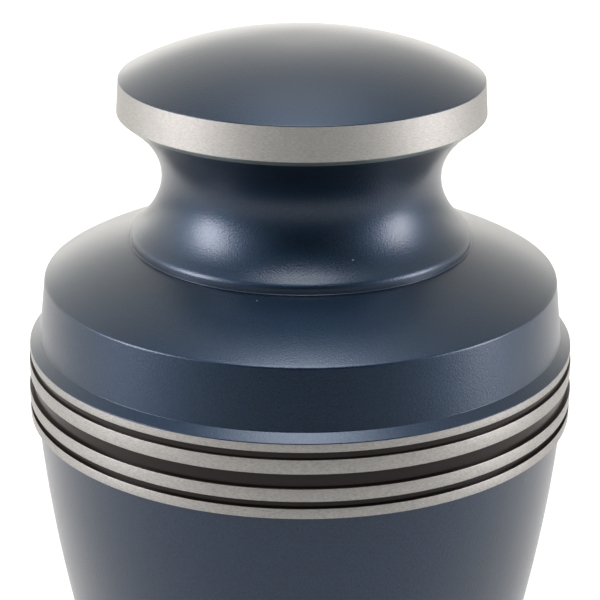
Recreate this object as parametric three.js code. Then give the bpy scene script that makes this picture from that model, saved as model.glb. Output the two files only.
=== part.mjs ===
// Funeral urn: a hollow brass vessel and its lift-off lid.
// Millimetres, +Z up, the urn's axis on Z and its foot on z = 0.
import * as THREE from 'three';

// Lid: a low dome on an upright rim, and a waisted neck that stands on a lip
const HEIGHT = 267;
const DOME_RADIUS = 55.9;
const DOME_FULLNESS = 2.55;
const RIM_TOP = 255.3;
const RIM_RADIUS = 56.6;
const RIM_BOTTOM = 245;
const BEVEL_BOTTOM = 243.3;
const NECK_RADIUS = 43.2;
const NECK_HEIGHT = 224.7;
const UPPER_FLARE_REACH = 55;
const UPPER_FLARE_RISE = 30.6;
const LIP_RADIUS = 53.2;
const LIP_TOP = 206.8;
const LIP_EDGE = 0.4;
const LOWER_FLARE_BOWL_SHARE = 0.93;
const SKIRT_DEPTH = 10;
const SKIRT_CLEARANCE = 0.5;

// Body, upper part: a sloping shoulder, a flared collar and a ledge down to the bands
const SEAM_HEIGHT = 203.8;
const MOUTH_RADIUS = 40;
const RIDGE_RADIUS = 80.15;
const RIDGE_HEIGHT = 192.6;
const RIDGE_ROUNDING = 0.5;
const SHOULDER_CONE_SHARE = 0.85;
const COLLAR_RADIUS = 82.2;
const COLLAR_BOTTOM = 173.9;

// Four raised bands with a groove between each two, from the lowest up
const BANDS = [
  { bottom: 148.8, top: 151.9, radius: 85.95 },
  { bottom: 154.2, top: 158.1, radius: 86 },
  { bottom: 162.6, top: 167, radius: 85.7 },
  { bottom: 169.2, top: 171.9, radius: 85.4 },
];
const GROOVE_RADIUS = 84.9;

// Body, lower part: a tapering belly, a waist and a spreading foot
const TAPER_RADIUS = 83.9;
const TAPER_SLOPE = 0.0701;
const TAPER_BEND = 0.000994;
const TAPER_BOTTOM = 84;
const BELLY_UPPER_PULL = 34;
const BELLY_LOWER_PULL = 16;
const WAIST_RADIUS = 39.3;
const WAIST_HEIGHT = 15.5;
const FOOT_FLARE_RADIUS = 49.8;
const FOOT_FLARE_HEIGHT = 7;
const FOOT_RADIUS = 51.5;
const FOOT_RIM_TOP = 6.4;
const FOOT_EDGE = 0.6;
const FOOT_RING_INNER_RADIUS = 43.5;
const FOOT_RECESS = 1.5;

// Every wall is of one thickness, and the mouth's rim is a little stronger
const WALL = 2.5;
const MOUTH_RIM_THICKNESS = 3;
const SIDES = 48;

// Points of an outline, each as [radius, height], from t = 0 to t = 1
function trace(steps, pointAt) {
  return Array.from({ length: steps + 1 }, (_, i) => pointAt(i / steps));
}

// An outline moved to its left by a wall's thickness
function inset(line, distance) {
  return line.map(([radius, height], i) => {
    const before = line[Math.max(i - 1, 0)];
    const after = line[Math.min(i + 1, line.length - 1)];
    const along = new THREE.Vector2(after[0] - before[0], after[1] - before[1]).normalize();
    return [radius - along.y * distance, height + along.x * distance];
  });
}

// One closed solid from an outline that starts and ends on the axis
function turned(name, outline, material) {
  const points = outline.map(([radius, height]) => new THREE.Vector2(radius, height));
  const geometry = new THREE.LatheGeometry(points, SIDES);
  geometry.rotateX(Math.PI / 2);
  const mesh = new THREE.Mesh(geometry, material);
  mesh.name = name;
  return mesh;
}

function lacquer() {
  return new THREE.MeshStandardMaterial({ color: 0x26364a, roughness: 0.4, metalness: 0.6 });
}

// The foot's spreading curve, from its edge up to the waist
function footFlare(steps) {
  return trace(steps, (t) => {
    const angle = (t * Math.PI) / 2;
    return [
      FOOT_FLARE_RADIUS - (FOOT_FLARE_RADIUS - WAIST_RADIUS) * Math.sin(angle),
      WAIST_HEIGHT - (WAIST_HEIGHT - FOOT_FLARE_HEIGHT) * Math.cos(angle),
    ];
  });
}

function taperRadius(height) {
  const drop = BANDS[0].bottom - height;
  return TAPER_RADIUS - TAPER_SLOPE * drop - TAPER_BEND * drop ** 2;
}

// The belly's S-shaped curve, from the waist up to where the taper starts
function belly(steps) {
  const slope = TAPER_SLOPE + 2 * TAPER_BEND * (BANDS[0].bottom - TAPER_BOTTOM);
  const topRadius = taperRadius(TAPER_BOTTOM);
  const curve = new THREE.CubicBezierCurve(
    new THREE.Vector2(WAIST_RADIUS, WAIST_HEIGHT),
    new THREE.Vector2(WAIST_RADIUS, WAIST_HEIGHT + BELLY_LOWER_PULL),
    new THREE.Vector2(topRadius - slope * BELLY_UPPER_PULL, TAPER_BOTTOM - BELLY_UPPER_PULL),
    new THREE.Vector2(topRadius, TAPER_BOTTOM),
  );
  return curve.getPoints(steps).map((point) => [point.x, point.y]);
}

function taper(steps) {
  return trace(steps, (t) => {
    const height = TAPER_BOTTOM + (BANDS[0].bottom - TAPER_BOTTOM) * t;
    return [taperRadius(height), height];
  });
}

// The bands' flat faces, with the walls and floor of each groove between them
function bands() {
  return BANDS.flatMap((band, i) => {
    const face = [[band.radius, band.bottom], [band.radius, band.top]];
    if (i === BANDS.length - 1) return face;
    return [...face, [GROOVE_RADIUS, band.top], [GROOVE_RADIUS, BANDS[i + 1].bottom]];
  });
}

// The shoulder from an outer radius in to the lid's lip: nearly a cone, rounded down at its edge
function shoulder(steps, outerRadius) {
  return trace(steps, (t) => {
    const radius = outerRadius + (LIP_RADIUS - outerRadius) * t;
    const out = (radius - LIP_RADIUS) / (RIDGE_RADIUS - LIP_RADIUS);
    const fall = SHOULDER_CONE_SHARE * out + (1 - SHOULDER_CONE_SHARE) * out ** 4;
    return [radius, SEAM_HEIGHT - (SEAM_HEIGHT - RIDGE_HEIGHT) * fall];
  });
}

function makeBody() {
  const foot = [
    [0, FOOT_RECESS],
    [FOOT_RING_INNER_RADIUS - FOOT_RECESS, FOOT_RECESS],
    [FOOT_RING_INNER_RADIUS, 0],
    [FOOT_RADIUS - FOOT_EDGE, 0],
    [FOOT_RADIUS, FOOT_EDGE],
    [FOOT_RADIUS, FOOT_RIM_TOP - FOOT_EDGE],
    [FOOT_RADIUS - FOOT_EDGE, FOOT_RIM_TOP],
  ];
  const outside = [
    ...foot,
    ...footFlare(4),
    ...belly(7).slice(1),
    ...taper(5).slice(1),
    ...bands(),
    [COLLAR_RADIUS, COLLAR_BOTTOM],
    [RIDGE_RADIUS, RIDGE_HEIGHT - RIDGE_ROUNDING],
    ...shoulder(4, RIDGE_RADIUS - RIDGE_ROUNDING),
  ];
  const wallLine = [
    ...footFlare(4),
    ...belly(5).slice(1),
    ...taper(3).slice(1),
    [COLLAR_RADIUS, COLLAR_BOTTOM],
    ...shoulder(3, RIDGE_RADIUS),
  ];
  const wall = inset(wallLine, WALL).slice(1, -1);
  const inside = [
    [MOUTH_RADIUS, SEAM_HEIGHT],
    [MOUTH_RADIUS, SEAM_HEIGHT - MOUTH_RIM_THICKNESS],
    [LIP_RADIUS, SEAM_HEIGHT - MOUTH_RIM_THICKNESS],
    ...wall.reverse(),
    [wall.at(-1)[0], FOOT_RECESS + WALL],
    [0, FOOT_RECESS + WALL],
  ];
  return turned('urn_body', [...outside, ...inside], lacquer());
}

// The neck's hollow curve above its narrowest place
function upperFlare(steps) {
  return trace(steps, (t) => {
    const height = NECK_HEIGHT + (BEVEL_BOTTOM - NECK_HEIGHT) * t;
    const rise = (height - NECK_HEIGHT) / UPPER_FLARE_RISE;
    return [NECK_RADIUS + UPPER_FLARE_REACH * (1 - Math.sqrt(1 - rise ** 2)), height];
  });
}

// The neck's curve below its narrowest place, from a height up: a bowl that turns out at the lip
function lowerFlare(steps, bottom) {
  const reach = LIP_RADIUS - LIP_EDGE - NECK_RADIUS;
  return trace(steps, (t) => {
    const height = bottom + (NECK_HEIGHT - bottom) * t;
    const drop = (NECK_HEIGHT - height) / (NECK_HEIGHT - LIP_TOP);
    const spread = LOWER_FLARE_BOWL_SHARE * drop ** 2 + (1 - LOWER_FLARE_BOWL_SHARE) * drop ** 8;
    return [NECK_RADIUS + reach * spread, height];
  });
}

// The dome from an outer radius in to the axis
function dome(steps, outerRadius) {
  return trace(steps, (t) => {
    const radius = outerRadius * Math.cos((t * Math.PI) / 2);
    return [radius, HEIGHT - (HEIGHT - RIM_TOP) * (radius / DOME_RADIUS) ** DOME_FULLNESS];
  });
}

function makeLid() {
  const skirtRadius = MOUTH_RADIUS - SKIRT_CLEARANCE;
  const lip = [
    [skirtRadius - WALL, SEAM_HEIGHT - SKIRT_DEPTH],
    [skirtRadius, SEAM_HEIGHT - SKIRT_DEPTH],
    [skirtRadius, SEAM_HEIGHT],
    [LIP_RADIUS - LIP_EDGE, SEAM_HEIGHT],
    [LIP_RADIUS, SEAM_HEIGHT + LIP_EDGE],
    [LIP_RADIUS, LIP_TOP - LIP_EDGE],
  ];
  const outside = [
    ...lip,
    ...lowerFlare(4, LIP_TOP),
    ...upperFlare(5).slice(1),
    [RIM_RADIUS, RIM_BOTTOM],
    ...dome(7, DOME_RADIUS),
  ];
  const floorTop = SEAM_HEIGHT + WALL;
  const neckWall = inset([...lowerFlare(3, LIP_TOP + WALL / 2), ...upperFlare(3).slice(1)], WALL);
  const domeWall = inset(dome(5, DOME_RADIUS - WALL), WALL);
  const inside = [
    [0, HEIGHT - WALL],
    ...domeWall.slice(0, -1).reverse(),
    [DOME_RADIUS - WALL, RIM_TOP - WALL],
    [RIM_RADIUS - WALL, RIM_BOTTOM + WALL],
    ...neckWall.reverse(),
    [neckWall.at(-1)[0], floorTop],
    [skirtRadius - WALL, floorTop],
  ];
  return turned('lid', [...outside, ...inside, lip[0]], lacquer());
}

const urn = new THREE.Group();
urn.name = 'funeral_urn';
urn.add(makeBody(), makeLid());

export default urn;
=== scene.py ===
# Funeral urn: the finish of a lacquered brass vessel and its lift-off lid
import math

import bpy
from mathutils import Euler, Matrix, Vector


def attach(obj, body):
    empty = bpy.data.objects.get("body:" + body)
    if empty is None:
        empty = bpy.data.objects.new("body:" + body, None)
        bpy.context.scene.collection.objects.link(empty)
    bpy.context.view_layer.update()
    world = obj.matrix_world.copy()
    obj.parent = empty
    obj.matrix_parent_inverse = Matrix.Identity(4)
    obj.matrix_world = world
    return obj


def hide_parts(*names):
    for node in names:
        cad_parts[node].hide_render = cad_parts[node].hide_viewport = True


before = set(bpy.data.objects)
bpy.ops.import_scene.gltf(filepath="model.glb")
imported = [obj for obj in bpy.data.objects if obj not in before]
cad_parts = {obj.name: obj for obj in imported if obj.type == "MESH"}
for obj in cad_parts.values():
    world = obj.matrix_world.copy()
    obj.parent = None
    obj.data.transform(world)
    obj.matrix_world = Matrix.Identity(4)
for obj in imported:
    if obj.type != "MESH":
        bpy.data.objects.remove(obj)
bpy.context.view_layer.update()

# Outline sizes in millimetres, as the solids have them
HEIGHT = 267
DOME_RADIUS = 55.9
DOME_FULLNESS = 2.55
RIM_TOP = 255.3
RIM_RADIUS = 56.6
RIM_BOTTOM = 245
BEVEL_BOTTOM = 243.3
NECK_RADIUS = 43.2
NECK_HEIGHT = 224.7
UPPER_FLARE_REACH = 55
UPPER_FLARE_RISE = 30.6
LIP_RADIUS = 53.2
LIP_TOP = 206.8
LIP_EDGE = 0.4
LOWER_FLARE_BOWL_SHARE = 0.93
SKIRT_DEPTH = 10
SKIRT_CLEARANCE = 0.5
SEAM_HEIGHT = 203.8
MOUTH_RADIUS = 40
MOUTH_RIM_THICKNESS = 3
RIDGE_RADIUS = 80.15
RIDGE_HEIGHT = 192.6
SHOULDER_CONE_SHARE = 0.85
COLLAR_RADIUS = 82.2
COLLAR_BOTTOM = 173.9
# Each band as (bottom, top, radius), from the lowest up
BANDS = [(148.8, 151.9, 85.95), (154.2, 158.1, 86), (162.6, 167, 85.7), (169.2, 171.9, 85.4)]
GROOVE_RADIUS = 84.9
TAPER_RADIUS = 83.9
TAPER_SLOPE = 0.0701
TAPER_BEND = 0.000994
TAPER_BOTTOM = 84
BELLY_UPPER_PULL = 34
BELLY_LOWER_PULL = 16
WAIST_RADIUS = 39.3
WAIST_HEIGHT = 15.5
FOOT_FLARE_RADIUS = 49.8
FOOT_FLARE_HEIGHT = 7
FOOT_RADIUS = 51.5
FOOT_RIM_TOP = 6.4
FOOT_RING_INNER_RADIUS = 43.5
FOOT_RECESS = 1.5
WALL = 2.5

# Roundings of the turned edges in millimetres, and the largest share of a side that one may take up
FINE = 0.1
CRISP = 0.25
SOFT = 0.5
LIP_ROUNDING = 1.3
ROUNDING_SHARE = 0.45

# What makes way for a rounding: millimetres of the shoulder, and points of the neck's lower curve
SHOULDER_ROOM = 1
LIP_ROOM = 3

# Fine turned detail in millimetres: the bands' crown and the bead along the lip's foot
CROWN = 0.05
LIP_BEAD = 0.12

# How far the lacquer reaches down over an edge onto the bare metal, in millimetres
OVERLAP = 0.25

# How finely the surfaces are divided, and the angle in degrees from which an edge is shaded hard
SIDES = 288
SHARP_ANGLE = 38
MM = 0.001
ON_AXIS = 1e-6

# Dust specks: how many cells to the metre hold one each, and their radius in metres
DUST_SCALE = 75
DUST_RADIUS = 0.0003

# The camera, in metres and degrees
CAMERA_PLACE = (-0.00017, -0.59466, 0.40993)
CAMERA_PITCH = 20.95
CAMERA_ROLL = 0.397
CAMERA_LENS = 120.64

# Light colours
WHITE = (1, 1, 1)
WARM_WHITE = (1.0, 0.97, 0.9)
PINK_WHITE = (1.0, 0.94, 0.93)

# What the lights are aimed at and how far off they stand, and the floor's size, in metres
AIM = Vector((0, 0, 0.19))
LIGHT_DISTANCE = 1.2
FLOOR_RADIUS = 6

# Each light as (azimuth, elevation, size, power, colour), in degrees, metres and watts.
# Azimuth 0 is the camera's side and 90 its right
LIGHTS = {
    "left_box": (-74, 21, (0.5, 0.8), 18.5, PINK_WHITE),
    "right_box": (80, 13, (0.48, 0.75), 14, PINK_WHITE),
    "top_box": (0, 79, (0.7, 0.7), 12.5, WHITE),
    "right_top_box": (90, 62, (0.8, 0.8), 0.8, WHITE),
    "back_top_box": (180, 68, (0.6, 0.6), 1.2, WHITE),
}

# The light that whitens the floor behind the urn
BACKDROP_PLACE = (0, 1.3, 1.0)
BACKDROP_SIZE = (3, 1.4)
BACKDROP_POWER = 34

# The surroundings: how bright they are behind the urn, along the horizon, at the sides and all round,
# how narrow the first two are, and how much brighter the left is
BACK_LIGHT = 1.05
BACK_SPREAD = 0.6
HORIZON_LIGHT = 2.5
HORIZON_SPREAD = 4
HORIZON_FOCUS = 45
SIDE_LIGHT = 0.8
FILL_LIGHT = 0.01
LEFT_BIAS = 0.3


def trace(steps, point_at):
    """Points of an outline, each as (radius, height, rounding), from t = 0 to t = 1."""
    return [(*point_at(i / steps), 0) for i in range(steps + 1)]


def inset(line, distance):
    """An outline moved to its left by a wall's thickness."""
    moved = []
    for i, (radius, height, _) in enumerate(line):
        before = line[max(i - 1, 0)]
        after = line[min(i + 1, len(line) - 1)]
        along = Vector((after[0] - before[0], after[1] - before[1])).normalized()
        moved.append((radius - along.y * distance, height + along.x * distance, 0))
    return moved


def foot_flare(steps):
    """The foot's spreading curve, from its edge up to the waist."""

    def point(t):
        angle = t * math.pi / 2
        radius = FOOT_FLARE_RADIUS - (FOOT_FLARE_RADIUS - WAIST_RADIUS) * math.sin(angle)
        return radius, WAIST_HEIGHT - (WAIST_HEIGHT - FOOT_FLARE_HEIGHT) * math.cos(angle)

    return trace(steps, point)


def taper_radius(height):
    drop = BANDS[0][0] - height
    return TAPER_RADIUS - TAPER_SLOPE * drop - TAPER_BEND * drop**2


def belly(steps):
    """The S-shaped curve from the waist up to where the taper starts."""
    slope = TAPER_SLOPE + 2 * TAPER_BEND * (BANDS[0][0] - TAPER_BOTTOM)
    top_radius = taper_radius(TAPER_BOTTOM)
    knots = (
        Vector((WAIST_RADIUS, WAIST_HEIGHT)),
        Vector((WAIST_RADIUS, WAIST_HEIGHT + BELLY_LOWER_PULL)),
        Vector((top_radius - slope * BELLY_UPPER_PULL, TAPER_BOTTOM - BELLY_UPPER_PULL)),
        Vector((top_radius, TAPER_BOTTOM)),
    )

    def point(t):
        weights = ((1 - t) ** 3, 3 * (1 - t) ** 2 * t, 3 * (1 - t) * t**2, t**3)
        return tuple(sum((knot * w for knot, w in zip(knots, weights)), Vector((0, 0))))

    return trace(steps, point)


def taper(steps):
    """The nearly straight part from the belly up to the lowest band."""

    def point(t):
        height = TAPER_BOTTOM + (BANDS[0][0] - TAPER_BOTTOM) * t
        return taper_radius(height), height

    return trace(steps, point)


def shoulder(steps, outer_radius):
    """From an outer radius in to the lip: nearly a cone, rounded down at its edge."""

    def point(t):
        radius = outer_radius + (LIP_RADIUS - outer_radius) * t
        out = (radius - LIP_RADIUS) / (RIDGE_RADIUS - LIP_RADIUS)
        fall = SHOULDER_CONE_SHARE * out + (1 - SHOULDER_CONE_SHARE) * out**4
        return radius, SEAM_HEIGHT - (SEAM_HEIGHT - RIDGE_HEIGHT) * fall

    return trace(steps, point)


def upper_flare(steps):
    """The neck's hollow curve above its narrowest place."""

    def point(t):
        height = NECK_HEIGHT + (BEVEL_BOTTOM - NECK_HEIGHT) * t
        rise = (height - NECK_HEIGHT) / UPPER_FLARE_RISE
        return NECK_RADIUS + UPPER_FLARE_REACH * (1 - math.sqrt(1 - rise**2)), height

    return trace(steps, point)


def lower_flare(steps, bottom):
    """The neck's curve below its narrowest place, from a height up: a bowl that turns out at the lip."""
    reach = LIP_RADIUS - LIP_EDGE - NECK_RADIUS

    def point(t):
        height = bottom + (NECK_HEIGHT - bottom) * t
        drop = (NECK_HEIGHT - height) / (NECK_HEIGHT - LIP_TOP)
        spread = LOWER_FLARE_BOWL_SHARE * drop**2 + (1 - LOWER_FLARE_BOWL_SHARE) * drop**8
        return NECK_RADIUS + reach * spread, height

    return trace(steps, point)


def dome(steps, outer_radius):
    """The dome from an outer radius in to the axis."""

    def point(t):
        radius = outer_radius * math.cos(t * math.pi / 2)
        return radius, HEIGHT - (HEIGHT - RIM_TOP) * (radius / DOME_RADIUS) ** DOME_FULLNESS

    return trace(steps, point)


def rounded(runs, arc_steps=4):
    """The runs as one list of (radius, height, finish), with an arc in place of each rounded corner.

    A finish starts in the middle of its run's first corner.
    """
    corners = [(*corner, finish) for finish, run in runs for corner in run]
    line = []
    for i, (radius, height, rounding, finish) in enumerate(corners):
        here = Vector((radius, height))
        if not rounding:
            line.append((radius, height, finish))
            continue
        last_finish = corners[i - 1][3]
        back = Vector(corners[i - 1][:2]) - here
        ahead = Vector(corners[(i + 1) % len(corners)][:2]) - here
        start = here + back.normalized() * min(rounding, back.length * ROUNDING_SHARE)
        end = here + ahead.normalized() * min(rounding, ahead.length * ROUNDING_SHARE)
        for step in range(arc_steps + 1):
            t = step / arc_steps
            point = start * (1 - t) ** 2 + here * 2 * t * (1 - t) + end * t**2
            line.append((point.x, point.y, finish if t >= 0.5 else last_finish))
    return line


def turned(name, runs, finishes):
    """A solid of revolution. Each run of its outline reaches up to the first point of the next."""
    line = rounded(runs)
    verts, rings = [], []
    for radius, height, _ in line:
        if radius < ON_AXIS:
            rings.append([len(verts)] * SIDES)
            verts.append((0, 0, height * MM))
            continue
        rings.append(list(range(len(verts), len(verts) + SIDES)))
        for side in range(SIDES):
            angle = 2 * math.pi * side / SIDES
            verts.append((radius * MM * math.cos(angle), radius * MM * math.sin(angle), height * MM))
    faces, slots = [], []
    order = list(finishes)
    for i, lower in enumerate(rings):
        upper = rings[(i + 1) % len(rings)]
        for side in range(SIDES):
            after = (side + 1) % SIDES
            corners = list(dict.fromkeys([lower[side], lower[after], upper[after], upper[side]]))
            if len(corners) > 2:
                faces.append(corners)
                slots.append(order.index(line[i][2]))
    mesh = bpy.data.meshes.new(name)
    mesh.from_pydata(verts, [], faces)
    mesh.polygons.foreach_set("material_index", slots)
    for material in finishes.values():
        mesh.materials.append(material)
    mesh.update()
    mesh.shade_smooth()
    mesh.set_sharp_from_angle(angle=math.radians(SHARP_ANGLE))
    piece = bpy.data.objects.new(name, mesh)
    bpy.context.scene.collection.objects.link(piece)
    return piece


def put(value, socket):
    """Link an output to an input, or give the input a value of its own."""
    if isinstance(value, bpy.types.NodeSocket):
        socket.id_data.links.new(value, socket)
    else:
        socket.default_value = value


def fill(node, **inputs):
    """Put values into a node's inputs. An underscore stands for a space in an input's name."""
    for key, value in inputs.items():
        put(value, node.inputs[key.replace("_", " ")])


def add(nodes, kind, **inputs):
    """A new node with the given inputs."""
    node = nodes.new(kind)
    fill(node, **inputs)
    return node


def calculated(nodes, operation, first, second):
    """The result of a math node."""
    node = nodes.new("ShaderNodeMath")
    node.operation = operation
    put(first, node.inputs[0])
    put(second, node.inputs[1])
    return node.outputs["Value"]


def blended(nodes, factor, first, second):
    """A colour between two others."""
    mix = nodes.new("ShaderNodeMix")
    mix.data_type = "RGBA"
    fill(mix, Factor=factor, A=first, B=second)
    return mix.outputs["Result"]


def stretched_coordinates(nodes, around, up):
    """Object coordinates times a scale that differs around and along the axis."""
    scaled = nodes.new("ShaderNodeVectorMath")
    scaled.operation = "MULTIPLY"
    put(nodes.new("ShaderNodeTexCoord").outputs["Object"], scaled.inputs[0])
    put((around, around, up), scaled.inputs[1])
    return scaled.outputs["Vector"]


def new_material(name):
    """A node material, and its nodes."""
    material = bpy.data.materials.new(name)
    material.use_nodes = True
    return material, material.node_tree.nodes


def lacquer():
    """Satin navy lacquer: a dark blue base that shines a little, under a clear coat with a fine grain."""
    material, nodes = new_material("navy_lacquer")
    where = stretched_coordinates(nodes, 1, 1)
    grain = add(nodes, "ShaderNodeTexNoise", Vector=where, Scale=2100, Detail=0).outputs["Fac"]
    cloud = add(nodes, "ShaderNodeTexNoise", Vector=where, Scale=28, Detail=3).outputs["Fac"]
    tone = blended(nodes, grain, (0.001, 0.007, 0.020, 1), (0.004, 0.027, 0.063, 1))
    dust = add(nodes, "ShaderNodeTexVoronoi", Vector=where, Scale=DUST_SCALE).outputs["Distance"]
    speck = calculated(nodes, "LESS_THAN", dust, DUST_RADIUS * DUST_SCALE)
    sheen = add(nodes, "ShaderNodeMapRange", Value=cloud)
    fill(sheen, From_Min=0.3, From_Max=0.7, To_Min=0.48, To_Max=0.54)
    bump = add(nodes, "ShaderNodeBump", Height=grain, Strength=0.35, Distance=0.0001).outputs["Normal"]
    shader = nodes["Principled BSDF"]
    fill(shader, Base_Color=blended(nodes, speck, tone, (0.16, 0.17, 0.18, 1)))
    fill(shader, Metallic=1, Roughness=sheen.outputs["Result"], Normal=bump)
    fill(shader, Coat_Weight=1, Coat_Roughness=0.33, Coat_IOR=1.42, Coat_Normal=bump)
    return material


def pewter(name, dark, light, roughness):
    """Brushed metal: fine streaks that run round the urn, and a highlight drawn out across them."""
    material, nodes = new_material(name)
    where = stretched_coordinates(nodes, 1000, 2600)
    streaks = add(nodes, "ShaderNodeTexNoise", Vector=where, Scale=1, Detail=3, Roughness=0.65).outputs["Fac"]
    tone = blended(nodes, streaks, (dark, dark, dark * 0.98, 1), (light, light, light * 0.97, 1))
    bump = add(nodes, "ShaderNodeBump", Height=streaks, Strength=0.25, Distance=0.0001).outputs["Normal"]
    tangent = nodes.new("ShaderNodeTangent")
    tangent.direction_type = "RADIAL"
    tangent.axis = "Z"
    shader = nodes["Principled BSDF"]
    fill(shader, Base_Color=tone, Metallic=1, Roughness=roughness, Normal=bump)
    fill(shader, Anisotropic=0.3, Anisotropic_Rotation=0.25, Tangent=tangent.outputs["Tangent"])
    return material


def patchy(name, stretch, detail, first, second, **look):
    """A finish whose colour drifts between two others in soft patches."""
    material, nodes = new_material(name)
    where = stretched_coordinates(nodes, *stretch)
    patches = add(nodes, "ShaderNodeTexNoise", Vector=where, Scale=1, Detail=detail).outputs["Fac"]
    fill(nodes["Principled BSDF"], Base_Color=blended(nodes, patches, first, second), **look)
    return material


def groove_paint():
    """Brown-black paint in the grooves."""
    dark = (0.003, 0.0025, 0.0025, 1)
    brown = (0.010, 0.006, 0.005, 1)
    return patchy("groove_paint", (60, 1400), 4, dark, brown, Roughness=0.28, Specular_IOR_Level=0.2)


def bevel_metal():
    """The dull olive-grey bevel under the rim."""
    dark = (0.36, 0.42, 0.38, 1)
    light = (0.48, 0.55, 0.50, 1)
    return patchy("bevel_metal", (90, 90), 4, dark, light, Metallic=1, Roughness=0.4)


def bare_brass():
    """The unlacquered inside."""
    dark = (0.42, 0.28, 0.10, 1)
    light = (0.62, 0.45, 0.19, 1)
    return patchy("bare_brass", (45, 45), 5, dark, light, Metallic=1, Roughness=0.42)


def band_runs():
    """The bands' faces, slightly crowned, and the walls and floor of each groove between them."""
    runs = []
    for (bottom, top, radius), above in zip(BANDS, [*BANDS[1:], None]):
        runs.append(("band", [(radius, bottom, FINE), (radius + CROWN, (bottom + top) / 2, 0)]))
        if above:
            groove = [(radius, top, FINE), (GROOVE_RADIUS, top, 0), (GROOVE_RADIUS, above[0], 0)]
            runs.append(("groove", groove))
    return runs


def make_body(finishes):
    foot_underside = [
        (0, FOOT_RECESS, 0),
        (FOOT_RING_INNER_RADIUS - FOOT_RECESS, FOOT_RECESS, SOFT),
        (FOOT_RING_INNER_RADIUS, 0, CRISP),
    ]
    foot_rim = [(FOOT_RADIUS, 0, SOFT), (FOOT_RADIUS, FOOT_RIM_TOP, SOFT)]
    _, top_band_top, top_band_radius = BANDS[-1]
    upper = [
        (top_band_radius, top_band_top - OVERLAP, 0),
        (top_band_radius, top_band_top, CRISP),
        (COLLAR_RADIUS, COLLAR_BOTTOM, FINE),
        (RIDGE_RADIUS, RIDGE_HEIGHT, SOFT),
        *shoulder(24, RIDGE_RADIUS - SHOULDER_ROOM),
    ]
    wall_line = [
        *foot_flare(8),
        *belly(20)[1:],
        *taper(12)[1:],
        (COLLAR_RADIUS, COLLAR_BOTTOM, 0),
        *shoulder(6, RIDGE_RADIUS),
    ]
    wall = inset(wall_line, WALL)[1:-1][::-1]
    floor = FOOT_RECESS + WALL
    inside = [
        (MOUTH_RADIUS, SEAM_HEIGHT, CRISP),
        (MOUTH_RADIUS, SEAM_HEIGHT - MOUTH_RIM_THICKNESS, CRISP),
        (LIP_RADIUS, SEAM_HEIGHT - MOUTH_RIM_THICKNESS, SOFT),
        *wall,
        (wall[-1][0], floor, SOFT),
        (0, floor, 0),
    ]
    runs = [
        ("brass", foot_underside),
        ("band", foot_rim),
        ("lacquer", [*foot_flare(16), *belly(40)[1:], *taper(36)[1:]]),
        *band_runs(),
        ("lacquer", upper),
        ("brass", inside),
    ]
    return turned("body_shell", runs, finishes)


def make_lid(finishes):
    skirt_radius = MOUTH_RADIUS - SKIRT_CLEARANCE
    skirt_bottom = SEAM_HEIGHT - SKIRT_DEPTH
    skirt = [
        (skirt_radius - WALL, skirt_bottom, CRISP),
        (skirt_radius, skirt_bottom, CRISP),
        (skirt_radius, SEAM_HEIGHT, 0),
    ]
    *flare, bevel = upper_flare(24)
    neck = [
        (LIP_RADIUS + LIP_BEAD, SEAM_HEIGHT, LIP_BEAD),
        (LIP_RADIUS + LIP_BEAD, SEAM_HEIGHT + 2 * LIP_BEAD, LIP_BEAD),
        (LIP_RADIUS - LIP_BEAD, SEAM_HEIGHT + 3 * LIP_BEAD, 0),
        (LIP_RADIUS, LIP_TOP - LIP_EDGE, LIP_ROUNDING),
        *lower_flare(28, LIP_TOP)[LIP_ROOM:],
        *flare[1:],
    ]
    top = [
        (DOME_RADIUS, RIM_TOP - OVERLAP, 0),
        (DOME_RADIUS, RIM_TOP, CRISP),
        *dome(40, DOME_RADIUS - SOFT),
    ]
    floor_top = SEAM_HEIGHT + WALL
    neck_wall = inset([*lower_flare(10, LIP_TOP + WALL / 2), *upper_flare(10)[1:]], WALL)[::-1]
    inside = [
        (0, HEIGHT - WALL, 0),
        *inset(dome(12, DOME_RADIUS - WALL), WALL)[:-1][::-1],
        (DOME_RADIUS - WALL, RIM_TOP - WALL, 0),
        (RIM_RADIUS - WALL, RIM_BOTTOM + WALL, 0),
        *neck_wall,
        (neck_wall[-1][0], floor_top, SOFT),
        (skirt_radius - WALL, floor_top, CRISP),
    ]
    runs = [
        ("brass", skirt),
        ("lacquer", neck),
        ("bevel", [bevel]),
        ("rim", [(RIM_RADIUS, RIM_BOTTOM, CRISP)]),
        ("lacquer", top),
        ("brass", inside),
    ]
    return turned("lid_shell", runs, finishes)


def make_floor():
    """A plain pale floor."""
    material, nodes = new_material("floor")
    fill(nodes["Principled BSDF"], Base_Color=(0.55, 0.55, 0.55, 1), Roughness=0.9)
    bpy.ops.mesh.primitive_circle_add(vertices=96, radius=FLOOR_RADIUS, fill_type="NGON")
    floor = bpy.context.active_object
    floor.name = "floor"
    floor.data.materials.append(material)


def make_camera():
    data = bpy.data.cameras.new("camera")
    data.sensor_width = 36
    data.lens = CAMERA_LENS
    camera = bpy.data.objects.new("camera", data)
    bpy.context.scene.collection.objects.link(camera)
    camera.location = CAMERA_PLACE
    tilt = Euler((math.radians(90 - CAMERA_PITCH), 0, 0)).to_matrix()
    roll = Matrix.Rotation(math.radians(CAMERA_ROLL), 3, "Z")
    camera.rotation_mode = "QUATERNION"
    camera.rotation_quaternion = (tilt @ roll).to_quaternion()
    bpy.context.scene.camera = camera


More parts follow.
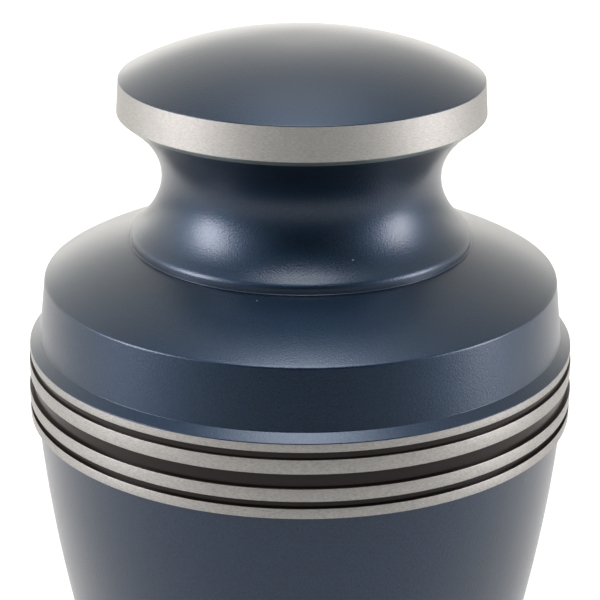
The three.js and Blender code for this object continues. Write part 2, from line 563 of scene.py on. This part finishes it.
def make_world():
    """Surroundings: white behind the urn, dimmer at its sides and nearly black on the camera's side."""
    world = bpy.data.worlds.new("surroundings")
    world.use_nodes = True
    bpy.context.scene.world = world
    nodes = world.node_tree.nodes

    def calculate(operation, first, second):
        return calculated(nodes, operation, first, second)

    direction = nodes.new("ShaderNodeTexCoord").outputs["Generated"]
    parts = add(nodes, "ShaderNodeSeparateXYZ", Vector=direction)
    x, y, z = (parts.outputs[axis] for axis in "XYZ")
    behind = calculate("MAXIMUM", y, 0)
    back = calculate("MULTIPLY", calculate("POWER", behind, BACK_SPREAD), BACK_LIGHT)
    flatness = calculate("SUBTRACT", 1, calculate("POWER", z, 2))
    narrow = calculate("POWER", flatness, HORIZON_FOCUS)
    band = calculate("MULTIPLY", calculate("POWER", behind, HORIZON_SPREAD), narrow)
    horizon = calculate("MULTIPLY", band, HORIZON_LIGHT)
    sides = calculate("MULTIPLY", calculate("POWER", x, 2), SIDE_LIGHT)
    bias = calculate("SUBTRACT", 1, calculate("MULTIPLY", x, LEFT_BIAS))
    around = calculate("ADD", calculate("ADD", back, horizon), sides)
    light = calculate("ADD", calculate("MULTIPLY", around, bias), FILL_LIGHT)
    seen = nodes.new("ShaderNodeLightPath").outputs["Is Camera Ray"]
    strength = calculate("MAXIMUM", light, seen)
    fill(nodes["Background"], Color=(*WARM_WHITE, 1), Strength=strength)


def soft_light(name, size, power, color):
    """An elliptical area light that faces down."""
    data = bpy.data.lights.new(name, "AREA")
    data.shape = "ELLIPSE"
    data.size, data.size_y = size
    data.energy = power
    data.color = color
    light = bpy.data.objects.new(name, data)
    bpy.context.scene.collection.objects.link(light)
    light.visible_camera = False
    return light


def make_lights():
    for name, (azimuth, elevation, size, power, color) in LIGHTS.items():
        light = soft_light(name, size, power, color)
        around, up = math.radians(azimuth), math.radians(elevation)
        away = Vector((math.sin(around) * math.cos(up), -math.cos(around) * math.cos(up), math.sin(up)))
        light.location = AIM + away * LIGHT_DISTANCE
        light.rotation_mode = "QUATERNION"
        light.rotation_quaternion = away.to_track_quat("Z", "Y")
    backdrop = soft_light("backdrop_box", BACKDROP_SIZE, BACKDROP_POWER, WARM_WHITE)
    backdrop.location = BACKDROP_PLACE
    backdrop.visible_glossy = False


FINISHES = {
    "lacquer": lacquer(),
    "rim": pewter("brushed_rim", 0.22, 0.43, 0.6),
    "band": pewter("brushed_bands", 0.15, 0.42, 0.5),
    "groove": groove_paint(),
    "bevel": bevel_metal(),
    "brass": bare_brass(),
}

for piece, node in ((make_body(FINISHES), "urn_body"), (make_lid(FINISHES), "lid")):
    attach(piece, "root")
    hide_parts(node)

make_floor()
make_camera()
make_world()
make_lights()
bpy.context.scene.view_settings.view_transform = "Standard"
